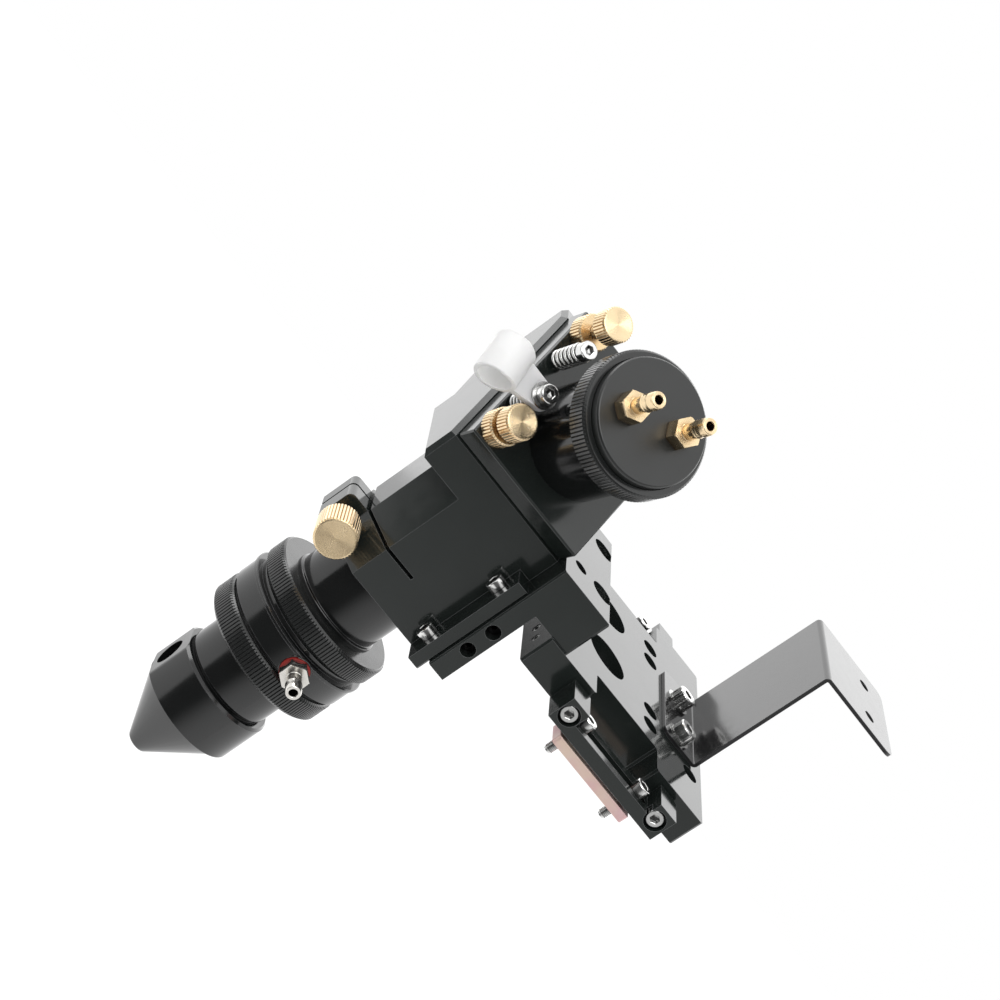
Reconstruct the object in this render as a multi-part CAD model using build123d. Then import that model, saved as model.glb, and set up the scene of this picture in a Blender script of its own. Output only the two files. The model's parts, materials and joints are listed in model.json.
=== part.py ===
from build123d import *
import os
from math import sqrt

# Laser cutting head: origin at the centre of the nozzle's tip, Z up along the optical axis,
# the mirror mount faces -Y and up, the carriage plate stands out to +X. Millimetres.

# Fits
run_clear = 0.05
thread_clear = 0.04
seat_clear = 0.04
free_clear = 0.2

# Nozzle
nozzle_tip_r = 3.45
nozzle_tip_round = 1.4
nozzle_outlet_r = 1.5
nozzle_outlet_h = 3.0
nozzle_cone_h = 20.2
nozzle_cone_r = 16.9
nozzle_ledge_h = 0.3
nozzle_body_r = 18.2
nozzle_body_h = 15.2
nozzle_rim = 0.8
nozzle_flat_x = 16.75
nozzle_port_r = 4.8
nozzle_port_drop = 8.5
nozzle_chamber_r = 11.0

# Tubes
tube_r = 16.0
tube_wall = 3.0
nozzle_tube_show = 13.8
nozzle_tube_lap = 3.2
nozzle_thread_h = 3.1
nozzle_thread_wall = 1.6
undercut_h = 1.0
undercut_depth = 0.7
focus_tube_show = 15.9
focus_tube_grip = 32.0
focus_thread_h = 9.2
focus_thread_r = 16.7
focus_collar_h = 1.2
focus_collar_chamfer = 0.4

# Knurled lock rings and the air ring between them
lock_ring_r = 23.65
lock_ring_chamfer = 0.9
lower_ring_h = 7.6
upper_ring_h = 7.1
upper_lip_h = 0.8
upper_lip_inset = 1.0
air_foot_h = 1.2
air_foot_inset = 2.0
air_ring_h = 7.2
air_rim_h = 1.4
air_rim_out = 0.45
air_neck_h = 1.6
air_neck_inset = 1.8
air_bore_r = 12.6
air_foot_gap = 0.3

# Gas fitting on the air ring
gas_turn = 8.0
gas_flat_depth = 0.5
gas_hex_af = 8.0
gas_hex_h = 3.6
gas_nipple_r = 2.5
gas_nipple_h = 7.8
gas_stub_r = 2.4
gas_stub_h = 5.0
gas_bore_r = 1.3
gas_seal_r = 4.5
gas_seal_h = 0.8

# Focusing lens in the foot of the focus tube
lens_r = 12.5
lens_edge = 2.2
lens_dome = 1.1
lens_ledge = 1.2
lens_seal_h = 0.7
retainer_h = 1.5
retainer_wall = 1.6
tube_foot_spare = 0.2

# Body: split clamp below, mirror block above
body_lower_h = 37.8
body_left = 19.1
body_right = 17.5
body_half = 18.5
body_corner = 9.7
block_left = 26.3
block_chamfer = 1.5
block_top_flat = 7.8
block_top_h = 86.2
block_break_low = 46.0
block_break_high = 53.0
mirror_h = 64.8
face_gap = 1.77
tube_bore_h = 47.4
beam_r = 11.0
pocket_r = 17.8
pocket_depth = 4.0
inlet_r = 10.5
inlet_land = 12.7
inlet_relief = 1.0

# Clamp ear, slits and clamp thumb screw
slit_w = 1.1
slit_h = 12.7
slit_end = 1.9
ear_out = 26.5
ear_front = 8.4
ear_back = 5.9
ear_slit_y = -0.3
ear_round = 2.0
knob_x = -21.9
knob_h = 4.6
knob_r = 6.4
knob_len = 11.7
knob_neck_r = 2.6
knob_neck_len = 4.4
knob_screw_r = 2.0
knob_dish = 0.6
knob_rim = 0.5
knob_lip = 0.6

# Side flange and its screws
flange_t = 4.3
flange_half = 28.0
flange_h = 39.0
flange_screw_y = 21.5
flange_screw_h = (7.1, 31.9)
m3_r = 1.5
m3_head_r = 2.75
m3_head_h = 3.0
m3_socket = 2.5
m4_r = 2.0
m4_head_r = 3.5
m4_head_h = 4.0
m4_socket = 3.0
flange_tip_out = 0.9

# Angle piece: vertical bar with a block on top
bar_t = 6.2
bar_foot_h = 4.2
angle_half = 29.8
angle_top_h = 52.2
block_under_h = 37.1
block_out = 14.6
top_screw_x = 16.6
top_screw_y = (-14.1, 17.9)
top_sink_r = 4.15
top_sink_h = 6.2
top_screw_grip = 4.2
top_hole_x = 6.5
top_hole_y = -14.8
top_hole_r = 2.45
top_hole_h = 9.0
bar_set_h = (15.7, 24.6)
bar_set_r = 2.3
bar_set_depth = 12.0
bar_set_recess = 4.5
bar_set_len = 5.0
bar_set_hex = 2.0

# Carriage plate
plate_t = 11.1
plate_lap = 7.2
plate_w = 71.6
plate_front = 31.0
plate_depth = 100.0
plate_chamfer = 0.7
bar_chamfer = 0.5
notch_x = 21.0
notch_w = 29.0
notch_depth = 12.9
big_hole_r = 8.1
big_hole_x = 25.3
big_hole_span = 33.3
row_x = 46.6
row_pitch = 19.4
row_hole_r = 3.2
row_wide = 54.2
row_narrow = 35.4
end_set_y = (-15.5, -22.3)
end_set_r = 1.5
end_set_len = 6.0
end_set_drop = 6.0
end_set_hex = 1.5

# Belt clamps, one at each end of the plate
clamp_gap = 1.2
clamp_depth = 12.0
clamp_end_w = 7.0
clamp_lap = 7.3
clamp_far_extra = 3.9
clamp_end_h = 9.1
clamp_bar_h = 4.2
clamp_drop = 1.8
clamp_slot_w = 4.4
clamp_slot_end = 2.0
clamp_screw_in = 3.2
clamp_screw_back = 5.2
clamp_sink_r = 3.3
clamp_sink_h = 4.0
clamp_slot_off = 0.4
clamp_screw_up = 4.6
clamp_screw_grip = 8.0
belt_gap = 1.0
jaw_t = 3.0
jaw_inset = 1.4
jaw_round = 1.0
jaw_lap = 3.2
jaw_tip_out = 4.4
tension_far_in = 4.0

# Cable-chain bracket in sheet metal
sheet_t = 1.2
bracket_back = 5.0
bracket_foot = 14.2
bracket_h = 49.3
bracket_arm = 32.5
bracket_half = 21.5
bend_r = 1.6
foot_round = 3.0
arm_round = 3.5
foot_screw_x = 8.6
foot_screw_y = (-17.6, 5.6)
foot_screw_grip = 6.0
arm_hole_r = 2.1
arm_hole_x = 22.0
arm_hole_span = 21.8
washer_r = 4.4
washer_t = 0.8

# Mirror mount on the 45 degree face
mount_gap = 0.43
mount_t = 8.3
mount_left = 24.6
mount_right = 21.8
mount_low = 24.0
mount_high = 29.5
mount_chamfer = 0.5
barrel_r = 16.6
barrel_spigot_r = 16.0
barrel_wall = 0.85
barrel_lip_h = 1.6
barrel_lip = 1.9
barrel_front = 41.2
collar_r = 18.8
collar_h = 3.8
union_r = 20.5
union_back = 36.2
union_front = 44.0
union_lip_h = 0.8
union_lip_r = 18.2
union_chamfer = 0.6
mirror_t = 3.0
mirror_seal_h = 1.0
cover_r = 18.0
cover_front = 46.9
cover_chamfer = 0.5
water_x = 7.8
water_t = 3.9
water_hex_af = 8.0
water_hex_h = 4.6
water_nipple_r = 2.6
water_nipple_h = 10.0
water_stub_r = 2.4
water_stub_h = 5.0
water_bore_r = 1.3
water_drill_h = 30.0

# Adjusters on the mirror plate, in the plate's own X and slope directions
thumb_xy = ((-20.0, 23.6), (-19.9, -18.0), (17.4, 23.6))
thumb_lift = (5.6, 2.0, 2.6)
thumb_r = 5.2
thumb_h = 5.8
thumb_neck_r = 3.3
thumb_screw_r = 2.0
nut_r = 5.5
nut_h = 5.6
spring_xy = ((-20.8, 11.2), (-20.8, -8.2))
spring_h = 13.2
spring_out_r = 3.1
spring_wire_r = 0.5
spring_turns = 6
spring_screw_grip = 8.0
small_washer_r = 3.9
small_washer_t = 0.8

# Cable clip under the lower spring screw
clip_wall = 1.3
clip_w = 12.4
clip_end_w = 7.8
clip_r = 6.4
clip_reach = 14.1
clip_turn = 8.0
clip_split = 0.2
clip_tab_h = 11.2

# Heights up the optical axis
z_nozzle = nozzle_cone_h + nozzle_body_h
z_lower_ring = z_nozzle + nozzle_tube_show
z_air_foot = z_lower_ring + lower_ring_h
z_air = z_air_foot + air_foot_h
z_air_rim = z_air + air_ring_h
z_air_neck = z_air_rim + air_rim_h
z_upper_lip = z_air_neck + air_neck_h
z_upper_ring = z_upper_lip + upper_lip_h
z_upper_top = z_upper_ring + upper_ring_h
z_body = z_upper_top + focus_tube_show
z_mirror = z_body + mirror_h
z_focus_foot = z_upper_top - focus_thread_h - lens_edge - lens_seal_h - retainer_h
z_plate = z_body + block_under_h
z_tube_top = z_air_foot + nozzle_tube_lap
z_face = z_mirror + face_gap * sqrt(2)
z_top = z_body + block_top_h

# Positions along X and Y
x_flange = body_right + flange_t
x_bar = x_flange + bar_t
x_block = x_bar + block_out
x_plate = x_block - plate_lap
y_plate_mid = plate_depth / 2 - plate_front
y_back = z_top - z_face + block_top_flat
x_wall = x_plate + plate_w - bracket_back

# Distances out of the mirror's face, square to the slope
n_body = face_gap
n_plate = n_body + mount_gap
n_front = n_plate + mount_t
n_seal = mirror_t
n_plug = n_seal + mirror_seal_h
n_nut = n_front + nut_h
n_spring = n_front + spring_h

slope = Plane(origin=(0, 0, z_mirror), x_dir=(1, 0, 0), z_dir=(0, -1, 1))


def rod(radius, z0, z1, x=0.0, y=0.0):
    """Upright cylinder between two heights."""
    return Pos(x, y, (z0 + z1) / 2) * Cylinder(radius, z1 - z0)


def tube(outer, inner, z0, z1, x=0.0, y=0.0):
    """Upright tube between two heights."""
    return rod(outer, z0, z1, x, y) - rod(inner, z0, z1, x, y)


def block(x0, x1, y0, y1, z0, z1):
    """Box between opposite corners."""
    size = Box(x1 - x0, y1 - y0, z1 - z0)
    return Pos((x0 + x1) / 2, (y0 + y1) / 2, (z0 + z1) / 2) * size


def turned(points):
    """Solid of revolution about Z from (radius, height) points."""
    face = make_face(Polyline(*[(r, 0, z) for r, z in points], close=True))
    return revolve(face, Axis.Z)


def ring_edges(part, axis, radius, slack=0.01):
    """Circular edges of one radius, along one axis."""
    found = part.edges().filter_by(GeomType.CIRCLE)
    return [e for e in found if abs(e.radius - radius) < slack and abs(e.normal().dot(axis)) > 0.99]


def cap_screw(radius, head_r, head_h, length, socket):
    """Socket head screw: seat of the head at Z 0, shank down to -length."""
    rim = 0.12 * head_r
    profile = [
        (0, -length),
        (radius * 0.8, -length),
        (radius, -length + radius * 0.3),
        (radius, 0),
        (head_r, 0),
        (head_r, head_h - rim),
        (head_r - rim, head_h),
        (0, head_h),
    ]
    hexagon = extrude(RegularPolygon(socket / 2, 6, major_radius=False), head_h * 0.6)
    return turned(profile) - Pos(0, 0, head_h * 0.4) * hexagon


def set_screw(radius, length, socket):
    """Headless screw: outer end at Z 0, body down to -length."""
    profile = [
        (0, -length),
        (radius * 0.7, -length),
        (radius, -length + radius * 0.3),
        (radius, 0),
        (0, 0),
    ]
    hexagon = extrude(RegularPolygon(socket / 2, 6, major_radius=False), -length * 0.5)
    return turned(profile) - hexagon


def along_y(radius, length):
    """Cylinder from the origin along +Y."""
    return Rot(-90, 0, 0) * Cylinder(radius, length, align=(Align.CENTER, Align.CENTER, Align.MIN))


def barb_fitting(hex_af, hex_h, nipple_r, nipple_h, stub_r, stub_h, bore_r):
    """Hose fitting: seat of the hexagon at Z 0, threaded stub below, barbed nipple above."""
    waist = nipple_r * 0.88
    shoulder = hex_af * 0.42
    nipple = [
        (0, -stub_h),
        (stub_r, -stub_h),
        (stub_r, 0),
        (shoulder, 0),
        (shoulder, hex_h),
        (waist, hex_h),
        (waist, hex_h + nipple_h * 0.42),
        (nipple_r, hex_h + nipple_h * 0.47),
        (waist, hex_h + nipple_h * 0.67),
        (waist, hex_h + nipple_h * 0.7),
        (nipple_r, hex_h + nipple_h * 0.75),
        (nipple_r * 0.94, hex_h + nipple_h * 0.95),
        (nipple_r * 0.84, hex_h + nipple_h),
        (0, hex_h + nipple_h),
    ]
    chamfered = [
        (0, 0),
        (hex_af * 0.555, 0),
        (hex_af * 0.6, hex_h * 0.1),
        (hex_af * 0.6, hex_h * 0.9),
        (hex_af * 0.555, hex_h),
        (0, hex_h),
    ]
    hexagon = extrude(RegularPolygon(hex_af / 2, 6, major_radius=False), hex_h)
    return turned(nipple) + (hexagon & turned(chamfered)) - rod(bore_r, -stub_h, hex_h + nipple_h)


def make_nozzle():
    z_thread = z_nozzle - nozzle_thread_h
    bore_r = tube_r - nozzle_thread_wall + thread_clear
    outside = [
        (0, 0),
        (nozzle_tip_r, 0),
        (nozzle_cone_r, nozzle_cone_h),
        (nozzle_body_r, nozzle_cone_h + nozzle_ledge_h),
        (nozzle_body_r, z_nozzle - nozzle_rim),
        (nozzle_body_r - nozzle_rim, z_nozzle),
        (0, z_nozzle),
    ]
    inside = [
        (0, -1),
        (nozzle_outlet_r, -1),
        (nozzle_outlet_r, nozzle_outlet_h),
        (nozzle_chamber_r, nozzle_cone_h),
        (nozzle_chamber_r, z_thread),
        (bore_r, z_thread),
        (bore_r, z_nozzle + 1),
        (0, z_nozzle + 1),
    ]
    shell = turned(outside)
    shell = fillet(ring_edges(shell, Vector(0, 0, 1), nozzle_tip_r), nozzle_tip_round)
    width = nozzle_body_r + 1
    shell -= block(-width, -nozzle_flat_x, -width, width, nozzle_cone_h, z_nozzle + 1)
    shell -= turned(inside)
    port = Rot(0, 0, 90) * along_y(nozzle_port_r, nozzle_body_r)
    return shell - Pos(-nozzle_chamber_r * 0.6, 0, z_nozzle - nozzle_port_drop) * port


def make_nozzle_tube():
    thread_r = tube_r - nozzle_thread_wall
    bore = tube_r - tube_wall
    z_foot = z_nozzle - nozzle_thread_h
    profile = [
        (bore, z_foot),
        (thread_r, z_foot),
        (thread_r, z_nozzle),
        (tube_r - undercut_depth, z_nozzle),
        (tube_r - undercut_depth, z_nozzle + undercut_h),
        (tube_r, z_nozzle + undercut_h),
        (tube_r, z_tube_top),
        (bore, z_tube_top),
    ]
    return turned(profile)


def make_lock_ring(z0, height, bore):
    ring = tube(lock_ring_r, bore, z0, z0 + height)
    return chamfer(ring_edges(ring, Vector(0, 0, 1), lock_ring_r), lock_ring_chamfer)


def make_upper_lock_ring():
    ring = make_lock_ring(z_upper_ring, upper_ring_h, focus_thread_r + thread_clear)
    lip = tube(lock_ring_r - upper_lip_inset, focus_thread_r + thread_clear, z_upper_lip, z_upper_ring)
    return ring + lip


def make_air_ring():
    tube_fit = tube_r + thread_clear
    z_step = z_focus_foot - air_foot_gap
    profile = [
        (tube_fit, z_air_foot),
        (lock_ring_r - air_foot_inset, z_air_foot),
        (lock_ring_r - air_foot_inset, z_air),
        (lock_ring_r - 0.5, z_air),
        (lock_ring_r, z_air + 0.5),
        (lock_ring_r, z_air_rim),
        (lock_ring_r + air_rim_out, z_air_rim + 0.3),
        (lock_ring_r + air_rim_out, z_air_neck - 0.3),
        (lock_ring_r + air_rim_out - 0.4, z_air_neck),
        (lock_ring_r - air_neck_inset, z_air_neck),
        (lock_ring_r - air_neck_inset, z_upper_lip),
        (tube_fit, z_upper_lip),
        (tube_fit, z_step),
        (air_bore_r, z_step),
        (air_bore_r, z_tube_top),
        (tube_fit, z_tube_top),
    ]
    ring = turned(profile)
    seat = Pos(0, 0, gas_axis_z()) * (Rot(0, 0, gas_turn) * gas_flat())
    bore = Pos(0, 0, gas_axis_z()) * (Rot(0, 0, gas_turn) * gas_drill())
    return ring - seat - bore


def gas_axis_z():
    return z_air + air_ring_h / 2


def gas_flat():
    """Spot face for the gas fitting, square to -Y."""
    depth = lock_ring_r - gas_flat_depth
    return Pos(0, -depth, 0) * (Rot(0, 0, 180) * along_y(gas_seal_r + 0.3, 4))


def gas_drill():
    """Threaded hole and gas way for the fitting, through to the chamber."""
    depth = lock_ring_r - gas_flat_depth
    thread = along_y(gas_stub_r + thread_clear, gas_stub_h + 1)
    way = along_y(gas_bore_r, depth - air_bore_r + 2)
    return Pos(0, -depth - 1, 0) * (thread + way)


def place_gas(part, out):
    """Stand a part on the air ring's spot face, out along the fitting's axis."""
    reach = lock_ring_r - gas_flat_depth + out
    return Pos(0, 0, gas_axis_z()) * (Rot(0, 0, gas_turn) * (Pos(0, -reach, 0) * (Rot(90, 0, 0) * part)))


def make_air_barb():
    fitting = barb_fitting(gas_hex_af, gas_hex_h, gas_nipple_r, gas_nipple_h, gas_stub_r, gas_stub_h, gas_bore_r)
    return place_gas(fitting, gas_seal_h)


def make_air_barb_seal():
    seal = tube(gas_seal_r, gas_stub_r + free_clear, 0, gas_seal_h)
    return place_gas(seal, 0)


def make_focus_tube():
    z_pocket = z_focus_foot
    z_top = z_body + focus_tube_grip
    z_collar = z_upper_top + focus_collar_h
    z_lens = z_focus_foot + retainer_h + lens_seal_h + lens_edge
    bore = lens_r - lens_ledge
    profile = [
        (lens_r + seat_clear, z_pocket),
        (tube_r, z_pocket),
        (tube_r, z_upper_lip),
        (focus_thread_r, z_upper_lip),
        (focus_thread_r, z_collar - focus_collar_chamfer),
        (tube_r, z_collar),
        (tube_r, z_top - 0.5),
        (tube_r - 0.5, z_top),
        (bore, z_top),
        (bore, z_lens),
        (lens_r + seat_clear, z_lens),
    ]
    return turned(profile)


def make_lens_retainer():
    z0 = z_focus_foot
    return tube(lens_r - 0.02, lens_r - retainer_wall, z0 + tube_foot_spare, z0 + retainer_h)


def make_lens_seal():
    z0 = z_focus_foot + retainer_h
    return tube(lens_r - 0.1, lens_r - 1.2, z0, z0 + lens_seal_h)


def make_focus_lens():
    z0 = z_focus_foot + retainer_h + lens_seal_h
    radius = lens_r - lens_ledge - 0.3
    ball_r = (radius * radius + lens_dome * lens_dome) / (2 * lens_dome)
    dome = Pos(0, 0, z0 + lens_edge + lens_dome - ball_r) * Sphere(ball_r)
    cap = dome & rod(radius, z0 + lens_edge / 2, z0 + lens_edge + 2 * lens_dome)
    return rod(lens_r, z0, z0 + lens_edge) + cap


def slope_rod(radius, n0, n1, x=0.0, t=0.0):
    """Cylinder square to the 45 degree face, between two distances from the mirror."""
    return slope * (Pos(x, t, (n0 + n1) / 2) * Cylinder(radius, n1 - n0))


def body_block_profile():
    """Side view of the mirror block, in Y and Z."""
    z0 = z_body + body_lower_h
    return [
        (-body_half, z0),
        (-body_half, z_face - body_half),
        (z_top - z_face, z_top),
        (y_back, z_top),
        (y_back, z_body + block_break_high),
        (body_half, z_body + block_break_low),
        (body_half, z0),
    ]


def make_body():
    z_low = z_body + body_lower_h
    corner = body_corner
    outline = Polyline(
        (-body_left, -body_half + corner),
        (-body_left + corner, -body_half),
        (body_right, -body_half),
        (body_right, body_half),
        (-body_left + corner, body_half),
        (-body_left, body_half - corner),
        close=True,
    )
    lower = Pos(0, 0, z_body) * extrude(make_face(outline), body_lower_h)
    side = make_face(Polyline(*[(0, y, z) for y, z in body_block_profile()], close=True))
    upper = Pos(-block_left, 0, 0) * extrude(side, block_left + x_flange, dir=(1, 0, 0))
    left_edges = upper.edges().filter_by(lambda e: e.center().X < -block_left + 0.01)
    upper = chamfer(left_edges, block_chamfer)
    flange = block(body_right, x_flange, -flange_half, flange_half, z_body, z_body + flange_h)
    flange = chamfer(flange.edges().filter_by(Axis.Z).group_by(Axis.X)[-1], 0.5)
    z_ear = z_body + slit_h - slit_w / 2
    ear = block(-ear_out, -body_left + corner, -ear_front, ear_back, z_body, z_ear)
    ear = fillet(ear.edges().filter_by(Axis.Y).group_by(Axis.Z)[-1].group_by(Axis.X)[0], ear_round)
    body = lower + upper + flange + ear
    body -= rod(tube_r + run_clear, z_body - 1, z_body + tube_bore_h)
    body -= rod(beam_r, z_body, z_mirror)
    body -= slope_rod(pocket_r, face_gap - pocket_depth, face_gap + 5)
    body -= inlet_cut()
    body -= clamp_cuts()
    for y in (-flange_screw_y, flange_screw_y):
        for h in flange_screw_h:
            drill = Rot(0, 90, 0) * Cylinder(m3_r + free_clear, 4 * flange_t)
            body -= Pos(x_flange, y, z_body + h) * drill
    for x, t in spring_xy:
        body -= slope_rod(m3_r + thread_clear, n_body - spring_screw_grip - 1, n_body + 1, x, t)
    return body


def inlet_cut():
    """Beam inlet along Y, from the mirror out through the back."""
    way = along_y(inlet_r, y_back + 1)
    relief = along_y(inlet_r + inlet_relief, y_back - inlet_land)
    return Pos(0, 0, z_mirror) * (way + relief)


def clamp_cuts():
    """Level slit above the clamp, upright slit through the ear and the ear's screw hole."""
    z_slit = z_body + slit_h
    wide = 2 * body_half
    half = slit_w / 2
    x0 = -ear_out - 1
    level = block(x0, slit_end, -wide, wide, z_slit - half, z_slit + half)
    upright = block(x0, -tube_r + 1, ear_slit_y - half, ear_slit_y + half, z_body - 1, z_slit)
    z_knob = z_body + knob_h
    front = along_y(knob_screw_r + free_clear, ear_front + 1 + ear_slit_y)
    back = along_y(knob_screw_r + thread_clear, ear_back - ear_slit_y + 1)
    hole = Pos(knob_x, -ear_front - 1, z_knob) * front + Pos(knob_x, ear_slit_y, z_knob) * back
    return level + upright + hole


def make_clamp_screw():
    y_seat = -ear_front
    grip = ear_front + ear_back
    back = -knob_neck_len
    front = back - knob_len
    profile = [
        (0, front + knob_dish),
        (knob_r - knob_rim - knob_lip, front),
        (knob_r - knob_rim, front),
        (knob_r, front + knob_rim),
        (knob_r, back - knob_rim),
        (knob_r - knob_rim, back),
        (knob_neck_r, back),
        (knob_neck_r, -0.02),
        (knob_screw_r, -0.02),
        (knob_screw_r, grip - 0.4),
        (knob_screw_r - 0.4, grip),
        (0, grip),
    ]
    return Pos(knob_x, y_seat, z_body + knob_h) * (Rot(-90, 0, 0) * turned(profile))


def make_flange_screws():
    grip = flange_t + bar_t + flange_tip_out
    screw = cap_screw(m3_r, m3_head_r, m3_head_h, grip, m3_socket)
    screws = []
    for y in (-flange_screw_y, flange_screw_y):
        for h in flange_screw_h:
            screws.append(Pos(body_right, y, z_body + h) * (Rot(0, -90, 0) * screw))
    return screws


def make_angle_piece():
    z_foot = z_body + bar_foot_h
    z_top = z_body + angle_top_h
    bar = block(x_flange, x_bar, -angle_half, angle_half, z_foot, z_top)
    top = block(x_bar, x_block, -angle_half, angle_half, z_plate, z_top)
    piece = bar + top
    piece = chamfer(piece.edges().filter_by(Axis.Z).group_by(Axis.X)[-1], plate_chamfer)
    piece = chamfer(piece.edges().filter_by(Axis.Y).group_by(Axis.Z)[-1].sort_by(Axis.X)[-1], plate_chamfer)
    front_edge = piece.edges().filter_by(Axis.Z).group_by(Axis.Y)[0].group_by(Axis.X)[0]
    piece = chamfer(front_edge, bar_chamfer)
    for y in top_screw_y:
        x = x_flange + top_screw_x
        piece -= rod(m4_r + free_clear, z_plate - 1, z_top, x, y)
        piece -= rod(top_sink_r, z_top - top_sink_h, z_top + 1, x, y)
    piece -= rod(top_hole_r, z_top - top_hole_h, z_top + 1, x_flange + top_hole_x, top_hole_y)
    for h in bar_set_h:
        hole = along_y(bar_set_r, bar_set_depth + 1)
        piece -= Pos((x_flange + x_bar) / 2, -angle_half - 1, z_body + h) * hole
    for y in (-flange_screw_y, flange_screw_y):
        for h in flange_screw_h:
            drill = Rot(0, 90, 0) * Cylinder(m3_r + thread_clear, 2 * bar_t)
            piece -= Pos((x_flange + x_bar) / 2, y, z_body + h) * drill
    return piece


def make_bar_set_screws():
    screw = set_screw(bar_set_r - thread_clear, bar_set_len, bar_set_hex)
    x = (x_flange + x_bar) / 2
    return [Pos(x, bar_set_recess - angle_half, z_body + h) * (Rot(90, 0, 0) * screw) for h in bar_set_h]


def make_top_screws():
    z_seat = z_body + angle_top_h - top_sink_h
    screw = cap_screw(m4_r, m4_head_r, m4_head_h, z_seat - z_plate + top_screw_grip, m4_socket)
    return [Pos(x_flange + top_screw_x, y, z_seat) * screw for y in top_screw_y]


def plate_rows():
    """Centres of the small through holes in the carriage plate."""
    spots = []
    for x, span in ((row_x, row_wide), (row_x, row_narrow), (row_x + row_pitch, row_wide)):
        spots.append((x_plate + x, y_plate_mid - span / 2))
        spots.append((x_plate + x, y_plate_mid + span / 2))
    return spots


def make_carriage_plate():
    z0 = z_plate - plate_t
    x_end = x_plate + plate_w
    y0 = y_plate_mid - plate_depth / 2
    y1 = y_plate_mid + plate_depth / 2
    plate = block(x_plate, x_end, y0, y1, z0, z_plate)
    for y_in, y_out in ((y0 + notch_depth, y0 - 1), (y1 - notch_depth, y1 + 1)):
        low, high = min(y_in, y_out), max(y_in, y_out)
        plate -= block(x_plate + notch_x, x_plate + notch_x + notch_w, low, high, z0 - 1, z_plate + 1)
    plate = chamfer(plate.edges().filter_by(Axis.Z), plate_chamfer)
    for side in (-1, 1):
        y = y_plate_mid + side * big_hole_span / 2
        plate -= rod(big_hole_r, z0 - 1, z_plate + 1, x_plate + big_hole_x, y)
    for x, y in plate_rows():
        plate -= rod(row_hole_r, z0 - 1, z_plate + 1, x, y)
    tapped_r = m4_r + thread_clear
    for y in top_screw_y:
        plate -= rod(tapped_r, z_plate - top_screw_grip - 1, z_plate + 1, x_flange + top_screw_x, y)
    for y in foot_screw_y:
        z_end = z_plate - foot_screw_grip - 1
        plate -= rod(tapped_r, z_end, z_plate + 1, x_wall - foot_screw_x, y_plate_mid + y)
    for y in end_set_y:
        hole = Rot(0, 0, -90) * along_y(end_set_r, end_set_len)
        plate -= Pos(x_plate, y, z_plate - end_set_drop) * hole
    for side in (-1, 1):
        for x in clamp_end_xs():
            hole = Rot(90, 0, 0) * Cylinder(m3_r + thread_clear, 2 * clamp_screw_grip)
            plate -= Pos(x, y_plate_mid + side * plate_depth / 2, clamp_screw_z()) * hole
    return plate


def make_end_set_screws():
    screw = set_screw(end_set_r - thread_clear, end_set_len - 0.5, end_set_hex)
    z = z_plate - end_set_drop
    return [Pos(x_plate + 0.2, y, z) * (Rot(0, -90, 0) * screw) for y in end_set_y]


def clamp_span():
    """Left and right ends of the belt clamp bars."""
    x0 = x_plate + notch_x
    return (x0 - clamp_lap, x0 + notch_w + clamp_lap + clamp_far_extra)


def clamp_end_xs():
    """Tension screws: one in each raised end of the bar."""
    x0, x1 = clamp_span()
    return (x0 + clamp_end_w / 2, x1 - tension_far_in)


def clamp_floor():
    return z_plate - clamp_drop - clamp_end_h


def clamp_screw_z():
    return clamp_floor() + clamp_screw_up


def clamp_screw_xs():
    x0, x1 = clamp_span()
    return (x0 + clamp_end_w + clamp_screw_in, x1 - clamp_end_w - clamp_screw_back)


def clamp_place(part, side):
    """Move a part drawn at the front end of the plate to one end."""
    if side < 0:
        return part
    return mirror(part, about=Plane.XZ.offset(-y_plate_mid))


def clamp_front_y():
    return y_plate_mid - plate_depth / 2 - clamp_gap


def make_clamp_bar(side):
    x0, x1 = clamp_span()
    y1 = clamp_front_y()
    y0 = y1 - clamp_depth
    z0 = clamp_floor()
    bar = block(x0, x1, y0, y1, z0, z0 + clamp_bar_h)
    for x in (x0, x1 - clamp_end_w):
        bar += block(x, x + clamp_end_w, y0, y1, z0, z0 + clamp_end_h)
    xa, xb = clamp_screw_xs()
    y_mid = (y0 + y1) / 2 - clamp_slot_off
    slot = SlotOverall(xb - xa + 2 * clamp_slot_end + clamp_slot_w, clamp_slot_w)
    bar -= Pos((xa + xb) / 2, y_mid, z0 - 1) * extrude(slot, clamp_bar_h + 2)
    for x in clamp_end_xs():
        bar -= Pos(x, y0 - 1, clamp_screw_z()) * along_y(m3_r + free_clear, clamp_depth + 2)
        bar -= Pos(x, y0 - 1, clamp_screw_z()) * along_y(clamp_sink_r, clamp_sink_h + 1)
    return clamp_place(bar, side)


def make_tension_screws(side):
    y0 = clamp_front_y() - clamp_depth + clamp_sink_h
    length = clamp_depth - clamp_sink_h + clamp_gap + clamp_screw_grip
    screw = cap_screw(m3_r, m3_head_r, m3_head_h, length, m3_socket)
    lying = Rot(90, 0, 0) * screw
    return [clamp_place(Pos(x, y0, clamp_screw_z()) * lying, side) for x in clamp_end_xs()]


def jaw_top():
    return clamp_floor() - belt_gap


def make_clamp_jaw(side):
    xa, xb = clamp_screw_xs()
    y1 = clamp_front_y() - jaw_inset
    y0 = clamp_front_y() - clamp_depth + 0.2
    jaw = block(xa - jaw_lap, xb + jaw_lap, y0, y1, jaw_top() - jaw_t, jaw_top())
    jaw = fillet(jaw.edges().filter_by(Axis.Z), jaw_round)
    y_mid = clamp_front_y() - clamp_depth / 2 - clamp_slot_off
    for x in (xa, xb):
        jaw -= rod(m3_r + thread_clear, jaw_top() - jaw_t - 1, jaw_top() + 1, x, y_mid)
    return clamp_place(jaw, side)


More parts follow.
